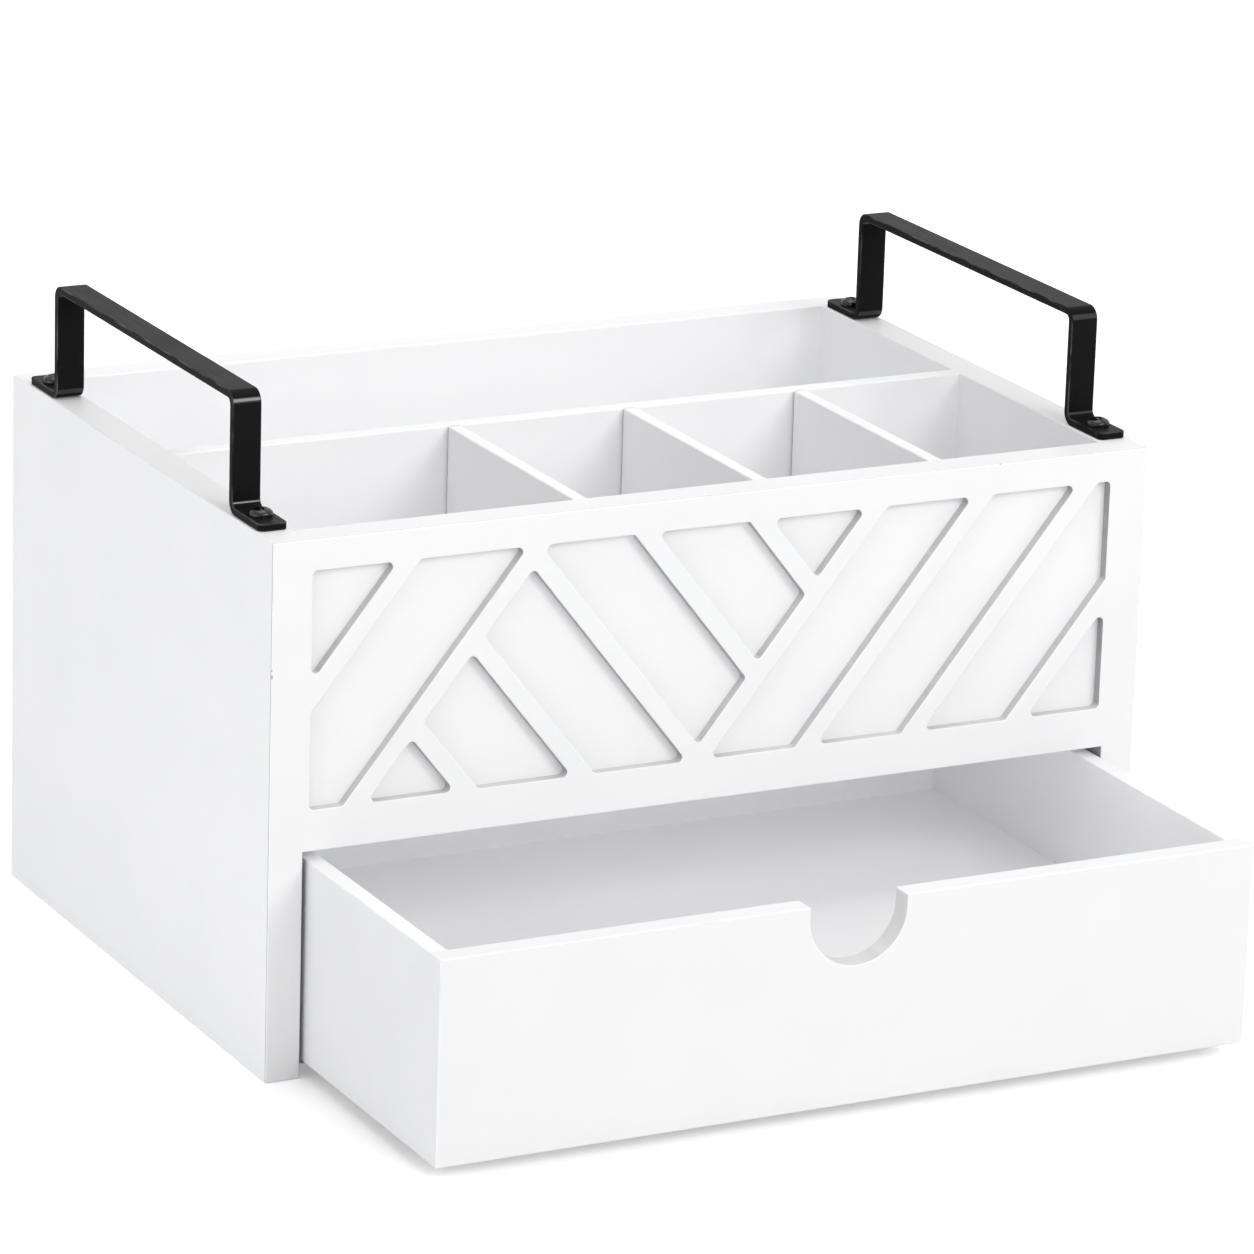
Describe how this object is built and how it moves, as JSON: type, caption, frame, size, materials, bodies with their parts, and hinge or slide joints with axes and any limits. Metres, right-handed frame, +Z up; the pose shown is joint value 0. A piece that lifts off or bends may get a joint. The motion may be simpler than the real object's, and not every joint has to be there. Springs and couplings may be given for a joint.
{
  "type": "utensil caddy",
  "caption": "Open-topped painted box for kitchen utensils, with divided compartments, a notched drawer below, a routed lattice front and bent flat-bar handles.",
  "frame": {"origin": "centre of the cabinet's base, on the surface that it stands on", "axes": "+Z up, +Y towards the back of the cabinet, -Y the way the drawer pulls out, +X to the right seen from the front"},
  "size_m": [0.32, 0.32, 0.221],
  "materials": {
    "white_paint": "satin white paint on wooden board, softly eased edges",
    "black_metal": "satin black powder coat on bent flat bar",
    "black_screw": "black pan-head screw with a cross recess, slightly glossier than the bar"
  },
  "bodies": {
    "cabinet": {"front_board": "white_paint", "left_side_panel": "white_paint", "right_side_panel": "white_paint", "back_panel": "white_paint", "base_panel": "white_paint", "tray_floor": "white_paint", "long_divider": "white_paint", "left_cross_divider": "white_paint", "middle_cross_divider": "white_paint", "right_cross_divider": "white_paint", "left_handle": "black_metal", "right_handle": "black_metal", "left_handle_front_screw": "black_screw", "left_handle_rear_screw": "black_screw", "right_handle_front_screw": "black_screw", "right_handle_rear_screw": "black_screw"},
    "drawer": {"drawer_front": "white_paint", "drawer_left_side": "white_paint", "drawer_right_side": "white_paint", "drawer_back": "white_paint", "drawer_floor": "white_paint"}
  },
  "joints": [
    {"name": "drawer_slide", "type": "slide", "parent": "cabinet", "child": "drawer", "axis": [0, -1, 0], "range_m": [-0.1, 0.055]}
  ]
}
